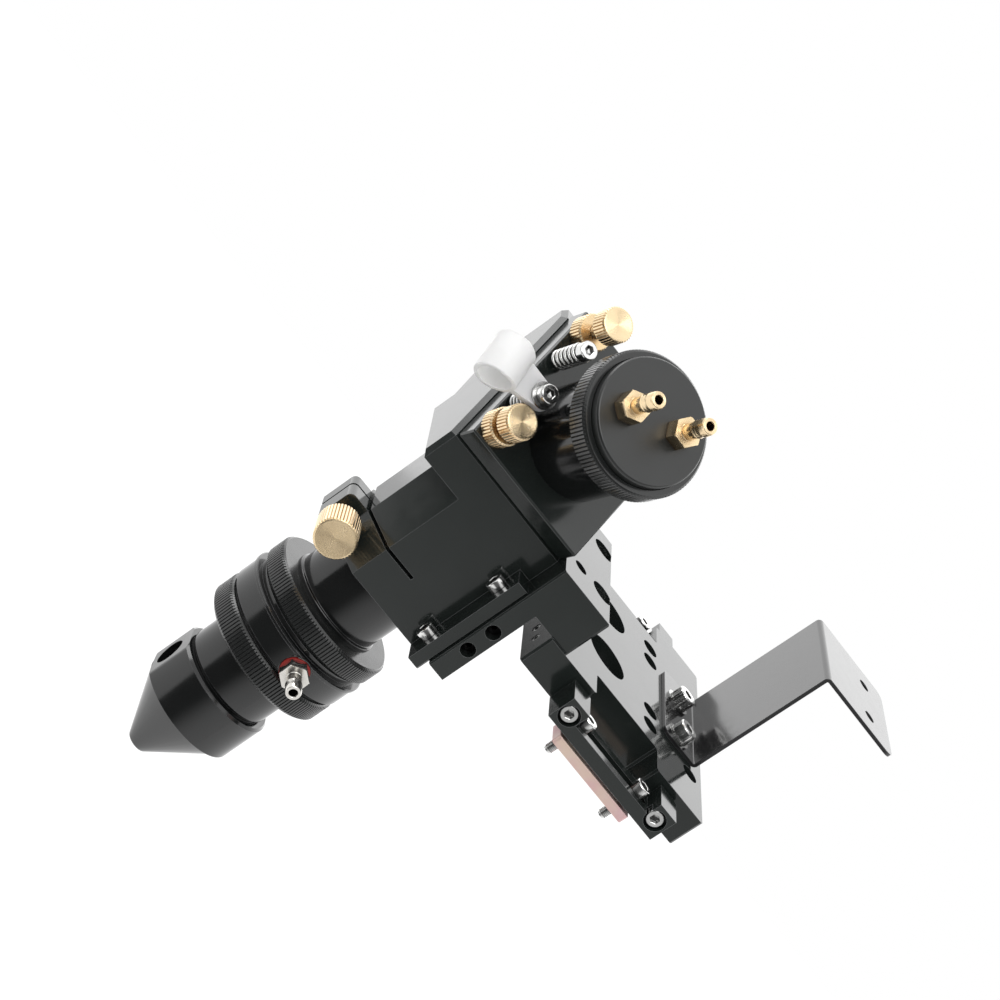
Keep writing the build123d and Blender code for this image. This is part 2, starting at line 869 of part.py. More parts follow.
def make_jaw_screws(side):
    z_seat = clamp_floor() + clamp_bar_h
    length = clamp_bar_h + belt_gap + jaw_t + jaw_tip_out
    screw = cap_screw(m3_r, m3_head_r, m3_head_h, length, m3_socket)
    y_mid = clamp_front_y() - clamp_depth / 2 - clamp_slot_off
    return [clamp_place(Pos(x, y_mid, z_seat) * screw, side) for x in clamp_screw_xs()]


def make_chain_bracket():
    z0 = z_plate
    z1 = z_plate + bracket_h
    xw = x_wall
    outline = Polyline(
        (xw - bracket_foot, 0, z0),
        (xw + sheet_t, 0, z0),
        (xw + sheet_t, 0, z1 - sheet_t),
        (xw + bracket_arm, 0, z1 - sheet_t),
        (xw + bracket_arm, 0, z1),
        (xw, 0, z1),
        (xw, 0, z0 + sheet_t),
        (xw - bracket_foot, 0, z0 + sheet_t),
        close=True,
    )
    sheet = extrude(make_face(outline), bracket_half, dir=(0, 1, 0), both=True)
    inner = [e for e in sheet.edges().filter_by(Axis.Y)
             if (abs(e.center().X - xw) < 0.01 and abs(e.center().Z - z0 - sheet_t) < 0.01)
             or (abs(e.center().X - xw - sheet_t) < 0.01 and abs(e.center().Z - z1 + sheet_t) < 0.01)]
    sheet = fillet(inner, bend_r - sheet_t)
    outer = [e for e in sheet.edges().filter_by(Axis.Y)
             if (abs(e.center().X - xw - sheet_t) < 0.01 and abs(e.center().Z - z0) < 0.01)
             or (abs(e.center().X - xw) < 0.01 and abs(e.center().Z - z1) < 0.01)]
    sheet = fillet(outer, bend_r)
    uprights = sheet.edges().filter_by(Axis.Z).filter_by(lambda e: e.length < 1.01 * sheet_t)
    sheet = fillet(uprights.group_by(Axis.X)[0], foot_round)
    uprights = sheet.edges().filter_by(Axis.Z).filter_by(lambda e: e.length < 1.01 * sheet_t)
    sheet = fillet(uprights.group_by(Axis.X)[-1], arm_round)
    sheet = Pos(0, y_plate_mid, 0) * sheet
    for y in foot_screw_y:
        sheet -= rod(m4_r + free_clear, z0 - 1, z0 + 2 * sheet_t, xw - foot_screw_x, y_plate_mid + y)
    for side in (-1, 1):
        y = y_plate_mid + side * arm_hole_span / 2
        sheet -= rod(arm_hole_r, z1 - 2 * sheet_t, z1 + 1, xw + arm_hole_x, y)
    return sheet


def make_foot_screws():
    z_seat = z_plate + sheet_t + washer_t
    screw = cap_screw(m4_r, m4_head_r, m4_head_h, sheet_t + washer_t + foot_screw_grip, m4_socket)
    return [Pos(x_wall - foot_screw_x, y_plate_mid + y, z_seat) * screw for y in foot_screw_y]


def make_foot_washers():
    z0 = z_plate + sheet_t
    return [tube(washer_r, m4_r + free_clear, z0, z0 + washer_t, x_wall - foot_screw_x, y_plate_mid + y)
            for y in foot_screw_y]


def make_mirror_plate():
    plate = block(-mount_left, mount_right, -mount_low, mount_high, n_plate, n_front)
    plate = chamfer(plate.edges(), mount_chamfer)
    plate -= rod(barrel_spigot_r + seat_clear, n_plate - 1, n_front + 1)
    for x, t in thumb_xy:
        plate -= rod(thumb_screw_r + thread_clear, n_plate - 1, n_front + 1, x, t)
    for x, t in spring_xy:
        plate -= rod(m3_r + 2 * free_clear, n_plate - 1, n_front + 1, x, t)
    return slope * plate


def make_mirror_barrel():
    bore = barrel_spigot_r - barrel_wall
    aperture = bore - barrel_lip
    profile = [
        (aperture, -barrel_lip_h),
        (barrel_spigot_r, -barrel_lip_h),
        (barrel_spigot_r, n_front),
        (barrel_r, n_front),
        (barrel_r, barrel_front - collar_h),
        (collar_r, barrel_front - collar_h),
        (collar_r, barrel_front),
        (bore, barrel_front),
        (bore, 0),
        (aperture, 0),
    ]
    return slope * turned(profile)


def make_mirror():
    return slope * rod(barrel_spigot_r - barrel_wall - 0.1, 0, mirror_t)


def make_mirror_seal():
    bore = barrel_spigot_r - barrel_wall
    return slope * tube(bore - 0.2, bore - 2.2, n_seal, n_plug)


def make_mirror_lock_ring():
    profile = [
        (collar_r + thread_clear, union_back),
        (union_r - union_chamfer, union_back),
        (union_r, union_back + union_chamfer),
        (union_r, union_front - union_chamfer),
        (union_r - union_chamfer, union_front),
        (union_lip_r, union_front),
        (union_lip_r, union_front - union_lip_h),
        (collar_r + thread_clear, union_front - union_lip_h),
    ]
    return slope * turned(profile)


def make_cooling_cover():
    plug_r = barrel_spigot_r - barrel_wall - seat_clear
    profile = [
        (0, n_plug),
        (plug_r, n_plug),
        (plug_r, barrel_front),
        (collar_r - 0.1, barrel_front),
        (collar_r - 0.1, union_front - union_lip_h),
        (cover_r, union_front - union_lip_h),
        (cover_r, cover_front - cover_chamfer),
        (cover_r - cover_chamfer, cover_front),
        (0, cover_front),
    ]
    cover = turned(profile)
    for side in (-1, 1):
        x, t = side * water_x, side * water_t
        cover -= rod(water_stub_r + thread_clear, cover_front - water_stub_h - 0.5, cover_front + 1, x, t)
        cover -= rod(water_bore_r, cover_front - water_drill_h, cover_front, x, t)
    return slope * cover


def make_water_barbs():
    fitting = barb_fitting(water_hex_af, water_hex_h, water_nipple_r, water_nipple_h,
                           water_stub_r, water_stub_h, water_bore_r)
    first = Pos(-water_x, -water_t, cover_front) * fitting
    second = Pos(water_x, water_t, cover_front) * (Rot(0, 0, 30) * fitting)
    return [slope * first, slope * second]


def make_thumb_screw(index):
    x, t = thumb_xy[index]
    n_head = n_nut + thumb_lift[index]
    n_top = n_head + thumb_h
    profile = [
        (0, n_body + 0.02),
        (thumb_screw_r * 0.5, n_body + 0.02),
        (thumb_screw_r, n_body + thumb_screw_r * 0.5),
        (thumb_screw_r, n_nut + 0.1),
        (thumb_screw_r, n_head - 1.6),
        (thumb_neck_r, n_head - 1.6),
        (thumb_neck_r, n_head),
        (thumb_r - 0.4, n_head),
        (thumb_r, n_head + 0.4),
        (thumb_r, n_top - 0.5),
        (thumb_r - 0.5, n_top),
        (0, n_top),
    ]
    return slope * (Pos(x, t, 0) * turned(profile))


def make_thumb_nut(index):
    x, t = thumb_xy[index]
    nut = tube(nut_r, thumb_screw_r + thread_clear, n_front, n_nut)
    nut = chamfer(ring_edges(nut, Vector(0, 0, 1), nut_r), 0.5)
    return slope * (Pos(x, t, 0) * nut)


def spring_coil(height):
    """Compression spring standing on Z 0, with one closed coil at each end."""
    mean_r = spring_out_r - spring_wire_r
    rise = height - 2 * spring_wire_r
    path = Helix(rise / spring_turns, rise, mean_r)
    section = Plane(origin=path @ 0, z_dir=path % 0) * RegularPolygon(spring_wire_r, 8)
    return Pos(0, 0, spring_wire_r) * sweep(section, path, is_frenet=True)


def make_spring(index):
    x, t = spring_xy[index]
    height = spring_h if index == 0 else clip_tab_h
    return slope * (Pos(x, t, n_front) * spring_coil(height))


def spring_head_n(index):
    """Seat of the head of each spring screw."""
    if index == 0:
        return n_spring
    return n_front + clip_tab_h + 2 * clip_wall + small_washer_t


def make_spring_screw(index):
    x, t = spring_xy[index]
    n_seat = spring_head_n(index)
    screw = cap_screw(m3_r, m3_head_r, m3_head_h, n_seat - n_body + spring_screw_grip, m3_socket)
    return slope * (Pos(x, t, n_seat) * screw)


def make_clip_washer():
    x, t = spring_xy[1]
    n0 = n_front + clip_tab_h + 2 * clip_wall
    return slope * tube(small_washer_r, m3_r + free_clear, n0, n0 + small_washer_t, x, t)


def make_cable_clip():
    x, t = spring_xy[1]
    n_mid = n_front + clip_tab_h + clip_wall
    lying = Rot(90, 0, 0)
    hoop = Pos(-clip_reach, 0, 0) * (lying * Cylinder(clip_r, clip_w))
    tab = block(-clip_reach, clip_end_w / 2, -clip_w / 2, clip_w / 2, -clip_wall, clip_wall)
    plan = Polyline(
        (-clip_reach - clip_r, -clip_w / 2),
        (-clip_reach, -clip_w / 2),
        (0, -clip_end_w / 2),
        (0, clip_end_w / 2),
        (-clip_reach, clip_w / 2),
        (-clip_reach - clip_r, clip_w / 2),
        close=True,
    )
    strap = extrude(make_face(plan) + Circle(clip_end_w / 2), clip_r, both=True)
    clip = (hoop + tab) & strap
    clip -= Pos(-clip_reach, 0, 0) * (lying * Cylinder(clip_r - clip_wall, clip_w + 2))
    clip -= block(-clip_reach, clip_w, -clip_w, clip_w, -clip_split / 2, clip_split / 2)
    clip -= rod(m3_r + free_clear, -2 * clip_wall, 2 * clip_wall)
    return slope * (Pos(x, t, n_mid) * (Rot(0, 0, clip_turn) * clip))


def solids_of(shape):
    """Flat list of the solids in a part or in a list of parts."""
    if isinstance(shape, (list, tuple)):
        return [s for item in shape for s in solids_of(item)]
    return list(shape.solids())


def write(name, shape):
    solids = solids_of(shape)
    body = solids[0] if len(solids) == 1 else Compound(children=solids)
    body.label = name
    export_step(body, "parts/" + name + ".step")


def main():
    os.makedirs("parts", exist_ok=True)
    write("nozzle", make_nozzle())
    write("nozzle_tube", make_nozzle_tube())
    write("lower_lock_ring", make_lock_ring(z_lower_ring, lower_ring_h, tube_r + thread_clear))
    write("air_ring", make_air_ring())
    write("air_barb", make_air_barb())
    write("air_barb_seal", make_air_barb_seal())
    write("upper_lock_ring", make_upper_lock_ring())
    write("focus_tube", make_focus_tube())
    write("lens_retainer", make_lens_retainer())
    write("lens_seal", make_lens_seal())
    write("focus_lens", make_focus_lens())
    write("body", make_body())
    write("clamp_thumb_screw", make_clamp_screw())
    write("flange_screws", make_flange_screws())
    write("angle_piece", make_angle_piece())
    write("bar_set_screws", make_bar_set_screws())
    write("top_screws", make_top_screws())
    write("carriage_plate", make_carriage_plate())
    write("end_set_screws", make_end_set_screws())
    for side, place in ((-1, "front"), (1, "rear")):
        write(place + "_clamp_bar", make_clamp_bar(side))
        write(place + "_clamp_jaw", make_clamp_jaw(side))
    write("tension_screws", [make_tension_screws(-1), make_tension_screws(1)])
    write("jaw_screws", [make_jaw_screws(-1), make_jaw_screws(1)])
    write("chain_bracket", make_chain_bracket())
    write("foot_screws", make_foot_screws())
    write("foot_washers", make_foot_washers())
    write("mirror_plate", make_mirror_plate())
    write("mirror_barrel", make_mirror_barrel())
    write("mirror", make_mirror())
    write("mirror_seal", make_mirror_seal())
    write("mirror_lock_ring", make_mirror_lock_ring())
    write("cooling_cover", make_cooling_cover())
    write("water_barbs", make_water_barbs())
    for index, place in enumerate(("upper", "lower", "far")):
        write(place + "_thumb_screw", make_thumb_screw(index))
        write(place + "_thumb_nut", make_thumb_nut(index))
    for index, place in enumerate(("upper", "lower")):
        write(place + "_spring_screw", make_spring_screw(index))
        write(place + "_spring", make_spring(index))
    write("clip_washer", make_clip_washer())
    write("cable_clip", make_cable_clip())


main()
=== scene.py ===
# Laser cutting head: finishes, knurls, threads and broken edges on the CAD model's frame.
# Places and profiles are in millimetres, meshes and the stage in metres.
import json
import math
from collections import namedtuple

import bmesh
import bpy
from mathutils import Matrix, Vector

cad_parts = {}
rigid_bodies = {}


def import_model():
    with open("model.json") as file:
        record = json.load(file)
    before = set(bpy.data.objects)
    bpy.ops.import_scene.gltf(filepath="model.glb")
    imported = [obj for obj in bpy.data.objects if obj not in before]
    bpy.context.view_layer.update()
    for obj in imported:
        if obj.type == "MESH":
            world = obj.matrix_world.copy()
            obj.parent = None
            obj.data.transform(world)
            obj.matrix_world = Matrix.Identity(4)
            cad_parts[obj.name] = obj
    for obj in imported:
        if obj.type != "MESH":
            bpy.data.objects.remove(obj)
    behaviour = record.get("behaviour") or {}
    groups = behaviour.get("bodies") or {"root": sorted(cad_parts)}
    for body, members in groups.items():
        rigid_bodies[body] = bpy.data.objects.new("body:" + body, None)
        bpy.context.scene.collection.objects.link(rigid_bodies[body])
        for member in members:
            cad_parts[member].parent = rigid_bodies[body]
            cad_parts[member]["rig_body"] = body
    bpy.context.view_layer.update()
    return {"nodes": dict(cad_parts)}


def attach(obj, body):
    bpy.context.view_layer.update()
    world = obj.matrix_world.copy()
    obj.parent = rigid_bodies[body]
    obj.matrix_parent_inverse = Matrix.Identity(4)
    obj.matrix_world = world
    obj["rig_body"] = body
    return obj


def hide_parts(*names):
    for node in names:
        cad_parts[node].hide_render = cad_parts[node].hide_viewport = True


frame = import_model()
nodes = frame["nodes"]
body_of_node = {n: o["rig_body"] for n, o in nodes.items()}
slot_of_node = {n: o.data.materials[0].name for n, o in nodes.items()}
MM = 0.001

# The mirror mount's slope: X across, Y up the slope, Z out of it, from the beam's crossing
MIRROR_Z = 156.8
HALF_ROOT = math.sqrt(0.5)
SLOPE = Matrix(((1, 0, 0, 0),
                (0, HALF_ROOT, -HALF_ROOT, 0),
                (0, HALF_ROOT, HALF_ROOT, MIRROR_Z),
                (0, 0, 0, 1)))
UPRIGHT = Matrix.Identity(4)


def at(x, y, z, turn_axis=None, degrees=0.0):
    place = Matrix.Translation((x, y, z))
    return place @ Matrix.Rotation(math.radians(degrees), 4, turn_axis) if turn_axis else place


Corner = namedtuple("Corner", "x y z")


def extent(node, place=UPRIGHT):
    """Low and high corner of a CAD node in a place's own directions, to 0.01 mm."""
    back = place.inverted()
    points = [back @ (vert.co / MM) for vert in nodes[node].data.vertices]
    low = Corner(*(round(min(p[i] for p in points), 2) for i in range(3)))
    high = Corner(*(round(max(p[i] for p in points), 2) for i in range(3)))
    return low, high


def middle(low, high):
    return Corner(*((a + b) / 2 for a, b in zip(low, high)))


def row(low, high, head_r):
    """Centres of the first and last round head between two sides, or of the only one.
    To 0.1 mm, since the CAD circles are faceted and fall a little short of their radius."""
    return sorted({round(low + head_r, 1), round(high - head_r, 1)})


# Sizes that several pieces share
THREAD_CLEAR = 0.04
M4_R, M4_PITCH = 2.0, 0.7
BODY_FACE = extent("body", SLOPE)[1].z
PLATE_FACE = extent("mirror_plate", SLOPE)[1].z
COVER_FACE = extent("cooling_cover", SLOPE)[1].z

# Sockets of Blender's Mix node, which has a set for each kind of value
FLOAT_A, FLOAT_B, FLOAT_OUT = 2, 3, 0
COLOR_A, COLOR_B, COLOR_OUT = 6, 7, 2


# Materials
class Shade:
    """A principled material with a few node helpers. Coordinates are object space, in metres."""

    def __init__(self, name, metallic=0.0):
        self.mat = bpy.data.materials.new(name)
        self.mat.use_nodes = True
        self.tree = self.mat.node_tree
        self.bsdf = self.tree.nodes["Principled BSDF"]
        self.set("Metallic", metallic)
        self.coord = self.node("ShaderNodeTexCoord").outputs["Object"]
        self.last_normal = None

    def set(self, name, value):
        self.bsdf.inputs[name].default_value = value

    def node(self, kind, **values):
        made = self.tree.nodes.new(kind)
        for key, value in values.items():
            setattr(made, key, value)
        return made

    def link(self, a, b):
        self.tree.links.new(a, b)

    def noise(self, scale, detail=2.0):
        n = self.node("ShaderNodeTexNoise")
        n.inputs["Scale"].default_value = scale
        n.inputs["Detail"].default_value = detail
        self.link(self.coord, n.inputs["Vector"])
        return n.outputs["Fac"]

    def spread(self, fac, low, high, start=0.3, end=0.7):
        """Stretch the values between start and end over low to high."""
        n = self.node("ShaderNodeMapRange")
        n.inputs["From Min"].default_value = start
        n.inputs["From Max"].default_value = end
        n.inputs["To Min"].default_value = low
        n.inputs["To Max"].default_value = high
        self.link(fac, n.inputs["Value"])
        return n.outputs["Result"]

    def mix(self, fac, a, b):
        """Blend two colours, each a tuple or a socket."""
        n = self.node("ShaderNodeMix", data_type="RGBA")
        self.link(fac, n.inputs["Factor"])
        for value, socket in ((a, n.inputs[COLOR_A]), (b, n.inputs[COLOR_B])):
            if isinstance(value, tuple):
                socket.default_value = (*value, 1)
            else:
                self.link(value, socket)
        return n.outputs[COLOR_OUT]

    def color(self, socket):
        self.link(socket, self.bsdf.inputs["Base Color"])

    def rough(self, socket):
        self.link(socket, self.bsdf.inputs["Roughness"])

    def bump(self, height, distance, strength):
        """Add a relief on top of the ones before it."""
        n = self.node("ShaderNodeBump")
        n.inputs["Strength"].default_value = strength
        n.inputs["Distance"].default_value = distance
        self.link(height, n.inputs["Height"])
        if self.last_normal:
            self.link(self.last_normal, n.inputs["Normal"])
        self.last_normal = n.outputs["Normal"]
        self.link(self.last_normal, self.bsdf.inputs["Normal"])

    def edges(self, radius):
        """1 along sharp edges, 0 on the faces between them."""
        bevel = self.node("ShaderNodeBevel", samples=4)
        bevel.inputs["Radius"].default_value = radius
        geometry = self.node("ShaderNodeNewGeometry")
        dot = self.node("ShaderNodeVectorMath", operation="DOT_PRODUCT")
        self.link(bevel.outputs["Normal"], dot.inputs[0])
        self.link(geometry.outputs["Normal"], dot.inputs[1])
        return self.spread(dot.outputs["Value"], 1.0, 0.0, start=0.85, end=0.995)

    def painted_shade_mask(self, distance):
        """Mask for painted shade: 1 in the open, 0 deep in sockets and joints."""
        n = self.node("ShaderNodeAmbientOcclusion", samples=6)
        n.inputs["Distance"].default_value = distance
        return self.spread(n.outputs["AO"], 0.0, 1.0, start=0.25, end=0.8)

    def turned(self, pitch):
        """Tool marks round a turned piece, from the radius in millimetres that its mesh stores."""
        radius = self.node("ShaderNodeAttribute", attribute_name="turn").outputs["Fac"]
        scale = self.node("ShaderNodeMath", operation="MULTIPLY")
        scale.inputs[1].default_value = 2 * math.pi / pitch
        self.link(radius, scale.inputs[0])
        wave = self.node("ShaderNodeMath", operation="SINE")
        self.link(scale.outputs[0], wave.inputs[0])
        return self.spread(wave.outputs[0], 0.0, 1.0, start=-1.0, end=1.0)


def anodised(name, dark, light, rough, grain, edge_wear_and_highlight=(0.10, 0.102, 0.104)):
    """Black anodised aluminium: fine grain, uneven sheen, and paler edges that stand for both wear and a
    painted highlight.
    """
    s = Shade(name)
    # Paler colour along sharp edges: partly wear, partly a painted highlight
    s.color(s.mix(s.edges(0.28 * MM), s.mix(s.noise(90), dark, light), edge_wear_and_highlight))
    s.rough(s.spread(s.noise(160, detail=4.0), *rough))
    s.bump(s.noise(5200), 0.004 * MM, grain)
    s.set("Specular IOR Level", 0.62)
    return s.mat


def coated_sheet():
    """Black powder-coated sheet, semi-gloss, with paler edges that are partly wear and partly a painted
    highlight.
    """
    s = Shade("black_sheet")
    coat = s.mix(s.noise(120), (0.012, 0.012, 0.0125), (0.018, 0.018, 0.0185))
    # Paler colour along sharp edges: partly wear, partly a painted highlight
    s.color(s.mix(s.edges(0.3 * MM), coat, (0.06, 0.06, 0.061)))
    s.rough(s.spread(s.noise(300, detail=4.0), 0.12, 0.18))
    s.bump(s.noise(900), 0.002 * MM, 0.1)
    s.set("Coat Weight", 0.15)
    s.set("Coat Roughness", 0.1)
    return s.mat


def metal(name, dark, light, rough, marks=0.0, painted_shade_color=None):
    """Bare or plated metal with painted shade inside sockets and joints, and tool marks on turned pieces."""
    s = Shade(name, metallic=1.0)
    # Colour of the painted shade: a darker tone of the metal unless one is given
    painted_shade_color = painted_shade_color or tuple(0.3 * c for c in dark)
    # Painted shade: the colour fades to the shade colour where ambient occlusion finds sockets and joints
    s.color(s.mix(s.painted_shade_mask(2.5 * MM), painted_shade_color, s.mix(s.noise(220, detail=3.0), dark, light)))
    s.rough(s.spread(s.noise(700, detail=3.0), *rough))
    s.bump(s.noise(3000), 0.006 * MM, 0.4)
    if marks:
        s.bump(s.turned(0.16), 0.02 * MM, marks)
    return s.mat


def chromate():
    """Yellow chromate over zinc: pink and gold patches."""
    s = Shade("zinc_yellow", metallic=0.55)
    pink, gold, haze = (0.66, 0.41, 0.42), (0.68, 0.53, 0.43), (0.69, 0.56, 0.53)
    patches = s.mix(s.spread(s.noise(70), 0.0, 1.0, start=0.42, end=0.6), pink, gold)
    s.color(s.mix(s.spread(s.noise(420), 0.0, 0.35), patches, haze))
    s.rough(s.spread(s.noise(600), 0.32, 0.44))
    s.bump(s.noise(2400), 0.01 * MM, 0.4)
    return s.mat


def nylon():
    """Milky nylon strap that lets light through."""
    s = Shade("nylon")
    s.color(s.mix(s.noise(200), (0.84, 0.84, 0.83), (0.90, 0.90, 0.89)))
    s.set("Subsurface Weight", 1.0)
    s.set("Subsurface Radius", (1.0, 1.0, 0.95))
    s.set("Subsurface Scale", 4.5 * MM)
    s.set("Transmission Weight", 0.35)
    s.rough(s.spread(s.noise(500), 0.28, 0.4))
    s.bump(s.noise(1500), 0.01 * MM, 0.4)
    return s.mat


def rubber(name, dark, light):
    s = Shade(name)
    s.color(s.mix(s.noise(500), dark, light))
    s.rough(s.spread(s.noise(900), 0.45, 0.6))
    s.bump(s.noise(3000), 0.02 * MM, 0.5)
    return s.mat


def glass():
    """Coated lens, amber in transmission."""
    s = Shade("lens_glass")
    s.color(s.mix(s.noise(120), (0.93, 0.58, 0.20), (0.96, 0.66, 0.28)))
    s.rough(s.spread(s.noise(300), 0.02, 0.04))
    s.set("Transmission Weight", 1.0)
    s.set("IOR", 2.0)
    return s.mat


MATERIALS = {
    "black_anodised": anodised("black_anodised", dark=(0.008, 0.0105, 0.0095), light=(0.012, 0.0145, 0.0135),
                               rough=(0.10, 0.16), grain=0.1),
    "black_knurled": anodised("black_knurled", dark=(0.006, 0.0065, 0.0065), light=(0.011, 0.012, 0.0115),
                              rough=(0.16, 0.24), grain=0.3, edge_wear_and_highlight=(0.035, 0.036, 0.037)),
    "black_sheet": coated_sheet(),
    # Brass gets an orange-brown painted shade in its knurl valleys and sockets
    "brass": metal("brass", dark=(0.78, 0.60, 0.36), light=(0.86, 0.69, 0.45), rough=(0.17, 0.28),
                   marks=0.9, painted_shade_color=(0.38, 0.21, 0.08)),
    "nickel": metal("nickel", dark=(0.66, 0.64, 0.60), light=(0.80, 0.78, 0.74), rough=(0.14, 0.24)),
    "steel": metal("steel", dark=(0.62, 0.62, 0.61), light=(0.80, 0.80, 0.79), rough=(0.12, 0.22)),
    "black_screw": metal("black_screw", dark=(0.05, 0.05, 0.05), light=(0.09, 0.09, 0.09),
                         rough=(0.25, 0.35)),
    "zinc_yellow": chromate(),
    "nylon": nylon(),
    "red_seal": rubber("red_seal", dark=(0.20, 0.012, 0.010), light=(0.28, 0.02, 0.016)),
    "black_seal": rubber("black_seal", dark=(0.012, 0.012, 0.012), light=(0.03, 0.03, 0.03)),
    "lens_glass": glass(),
    "mirror_face": metal("mirror_face", dark=(0.85, 0.80, 0.68), light=(0.90, 0.86, 0.75),
                         rough=(0.03, 0.06)),
}

# Turned pieces are deeper black than milled ones, and the cover is duller
TURNED_BLACK = anodised("black_turned", dark=(0.0035, 0.004, 0.004), light=(0.0055, 0.006, 0.006),
                        rough=(0.1, 0.15), grain=0.1)
SATIN_BLACK = anodised("black_satin", dark=(0.006, 0.007, 0.0068), light=(0.010, 0.011, 0.0106),
                       rough=(0.30, 0.38), grain=0.1)
SPECIAL = {
    "nozzle": TURNED_BLACK, "nozzle_tube": TURNED_BLACK, "focus_tube": TURNED_BLACK, "air_ring": TURNED_BLACK,
    "mirror_barrel": TURNED_BLACK, "lens_retainer": TURNED_BLACK, "cooling_cover": SATIN_BLACK,
}


# Meshes
def own(obj, node):
    """The piece stands for a CAD node, on the node's body and in its finish."""
    slot = slot_of_node[node]
    obj.data.materials.clear()
    obj.data.materials.append(SPECIAL.get(node, MATERIALS[slot]))
    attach(obj, body_of_node[node])
    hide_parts(node)


def new_object(name, bm, sharp):
    """Smooth-shaded object, with sharp edges above that angle in degrees."""
    mesh = bpy.data.meshes.new(name)
    bm.to_mesh(mesh)
    bm.free()
    mesh.shade_smooth()
    mesh.set_sharp_from_angle(angle=math.radians(sharp))
    obj = bpy.data.objects.new(name, mesh)
    bpy.context.scene.collection.objects.link(obj)
    return obj


def cleaned(node, edge):
    """Copy of a CAD node with its split vertices joined and, where edge isn't 0, its edges broken."""
    sharp, flat, join_within = 30, 0.3, 0.002
    bm = bmesh.new()
    bm.from_mesh(nodes[node].data)
    bmesh.ops.remove_doubles(bm, verts=bm.verts, dist=join_within * MM)
    if edge:
        bmesh.ops.dissolve_limit(bm, angle_limit=math.radians(flat), verts=bm.verts, edges=bm.edges)
    obj = new_object(node + "_look", bm, sharp)
    if edge:
        bevel = obj.modifiers.new("edge", "BEVEL")
        bevel.width = edge * MM
        bevel.segments = 2
        bevel.limit_method = "ANGLE"
        bevel.angle_limit = math.radians(sharp)
        even = obj.modifiers.new("even", "WEIGHTED_NORMAL")
        even.keep_sharp = True
        even.weight = 90
    own(obj, node)


# Turned pieces. A profile point is (radius, height, share of the knurl's depth) or, for a hexagonal
# ring, (half width, height, (HEX, corner radius)). TOOTH is a valley and the two sides of its crest.
HEX = "hexagon"
SIXTH = math.pi / 3
TOOTH = (0.0, 0.22, 0.78)
ROUND_STEPS = 60
# Radius of a ring of points on the axis, and how near the ends of a closed profile must be to join
LEAST_R = 0.001
SAME_POINT = 0.0001


def turn(bm, place, profile, teeth=0, depth=0.0):
    """Add a piece turned about the local Z of a place."""
    mark = bm.verts.layers.float.get("turn") or bm.verts.layers.float.new("turn")
    count = len(TOOTH) * teeth or ROUND_STEPS
    rings = []
    for radius, height, share in profile:
        ring = []
        for i in range(count):
            tooth, part = divmod(i, len(TOOTH))
            angle = 2 * math.pi * ((tooth + TOOTH[part]) / teeth if teeth else i / count)
            r = radius
            if isinstance(share, tuple):
                r = min(radius / math.cos((angle + SIXTH / 2) % SIXTH - SIXTH / 2), share[1])
            elif teeth and part == 0:
                r = radius - depth * share
            r = max(r, LEAST_R)
            point = place @ Vector((r * math.cos(angle), r * math.sin(angle), height))
            vert = bm.verts.new(point * MM)
            vert[mark] = r
            ring.append(vert)
        rings.append(ring)
    faces = []
    for low, high in zip(rings, rings[1:]):
        for i in range(count):
            j = (i + 1) % count
            faces.append(bm.faces.new((low[i], low[j], high[j], high[i])))
    if profile[0] == profile[-1]:
        bmesh.ops.remove_doubles(bm, verts=rings[0] + rings[-1], dist=SAME_POINT * MM)
    else:
        faces.append(bm.faces.new(list(reversed(rings[0]))))
        faces.append(bm.faces.new(rings[-1]))
    bmesh.ops.recalc_face_normals(bm, faces=[f for f in faces if f.is_valid])


def knurled(node, place, profile, teeth, depth):
    bm = bmesh.new()
    turn(bm, place, profile, teeth, depth)
    own(new_object(node + "_look", bm, sharp=22), node)


def thread(r, low, high, pitch):
    """Profile of a screw thread's ridges between two heights."""
    core = r - 0.6 * pitch
    turns = int((high - low) / pitch)
    # Radius and share of the pitch
    ridge = ((core, 0.0), (core, 0.12), (r, 0.5), (r, 0.62))
    points = [(radius, low + i * pitch + share * pitch, 0) for i in range(turns) for radius, share in ridge]
    points.append((core, low + turns * pitch, 0))
    return points


# Knurled lock rings
def lock_ring(node, inside, lip_h=0.0, lip_inset=0.0):
    """Ring with chamfered edges, screwed over the piece inside it. A lip narrows its foot."""
    low, high = extent(node)
    r, z0, z1 = high.x, low.z, high.z
    bore = extent(inside)[1].x + THREAD_CLEAR
    edge, corner, half_cut = 0.9, 0.42, 0.45
    foot = z0 + lip_h
    profile = [(bore, z0, 0), (r - edge - lip_inset, z0, 0), (r - edge, foot, 0),
               (r - corner, foot + half_cut, 0.25), (r, foot + edge, 1), (r, z1 - edge, 1),
               (r - corner, z1 - half_cut, 0.25), (r - edge, z1, 0), (bore, z1, 0), (bore, z0, 0)]
    knurled(node, UPRIGHT, profile, teeth=136, depth=0.5)


def mirror_ring(node):
    """Ring that screws over the barrel's end and holds the cover's rim with its inner ledge."""
    low, high = extent(node, SLOPE)
    r, z0, z1 = high.x, low.z, high.z
    bore = extent("mirror_barrel", SLOPE)[1].x + THREAD_CLEAR
    edge, corner, half_cut, cut = 0.8, 0.3, 0.4, 0.9
    ledge_r, ledge_z = 18.2, z1 - 0.8
    profile = [(bore, z0, 0), (r - edge, z0, 0), (r - corner, z0 + half_cut, 0.2), (r, z0 + cut, 1),
               (r, z1 - cut, 1), (r - corner, z1 - half_cut, 0.2), (r - edge, z1, 0),
               (ledge_r, z1, 0), (ledge_r, ledge_z, 0), (bore, ledge_z, 0), (bore, z0, 0)]
    knurled(node, SLOPE, profile, teeth=118, depth=0.42)


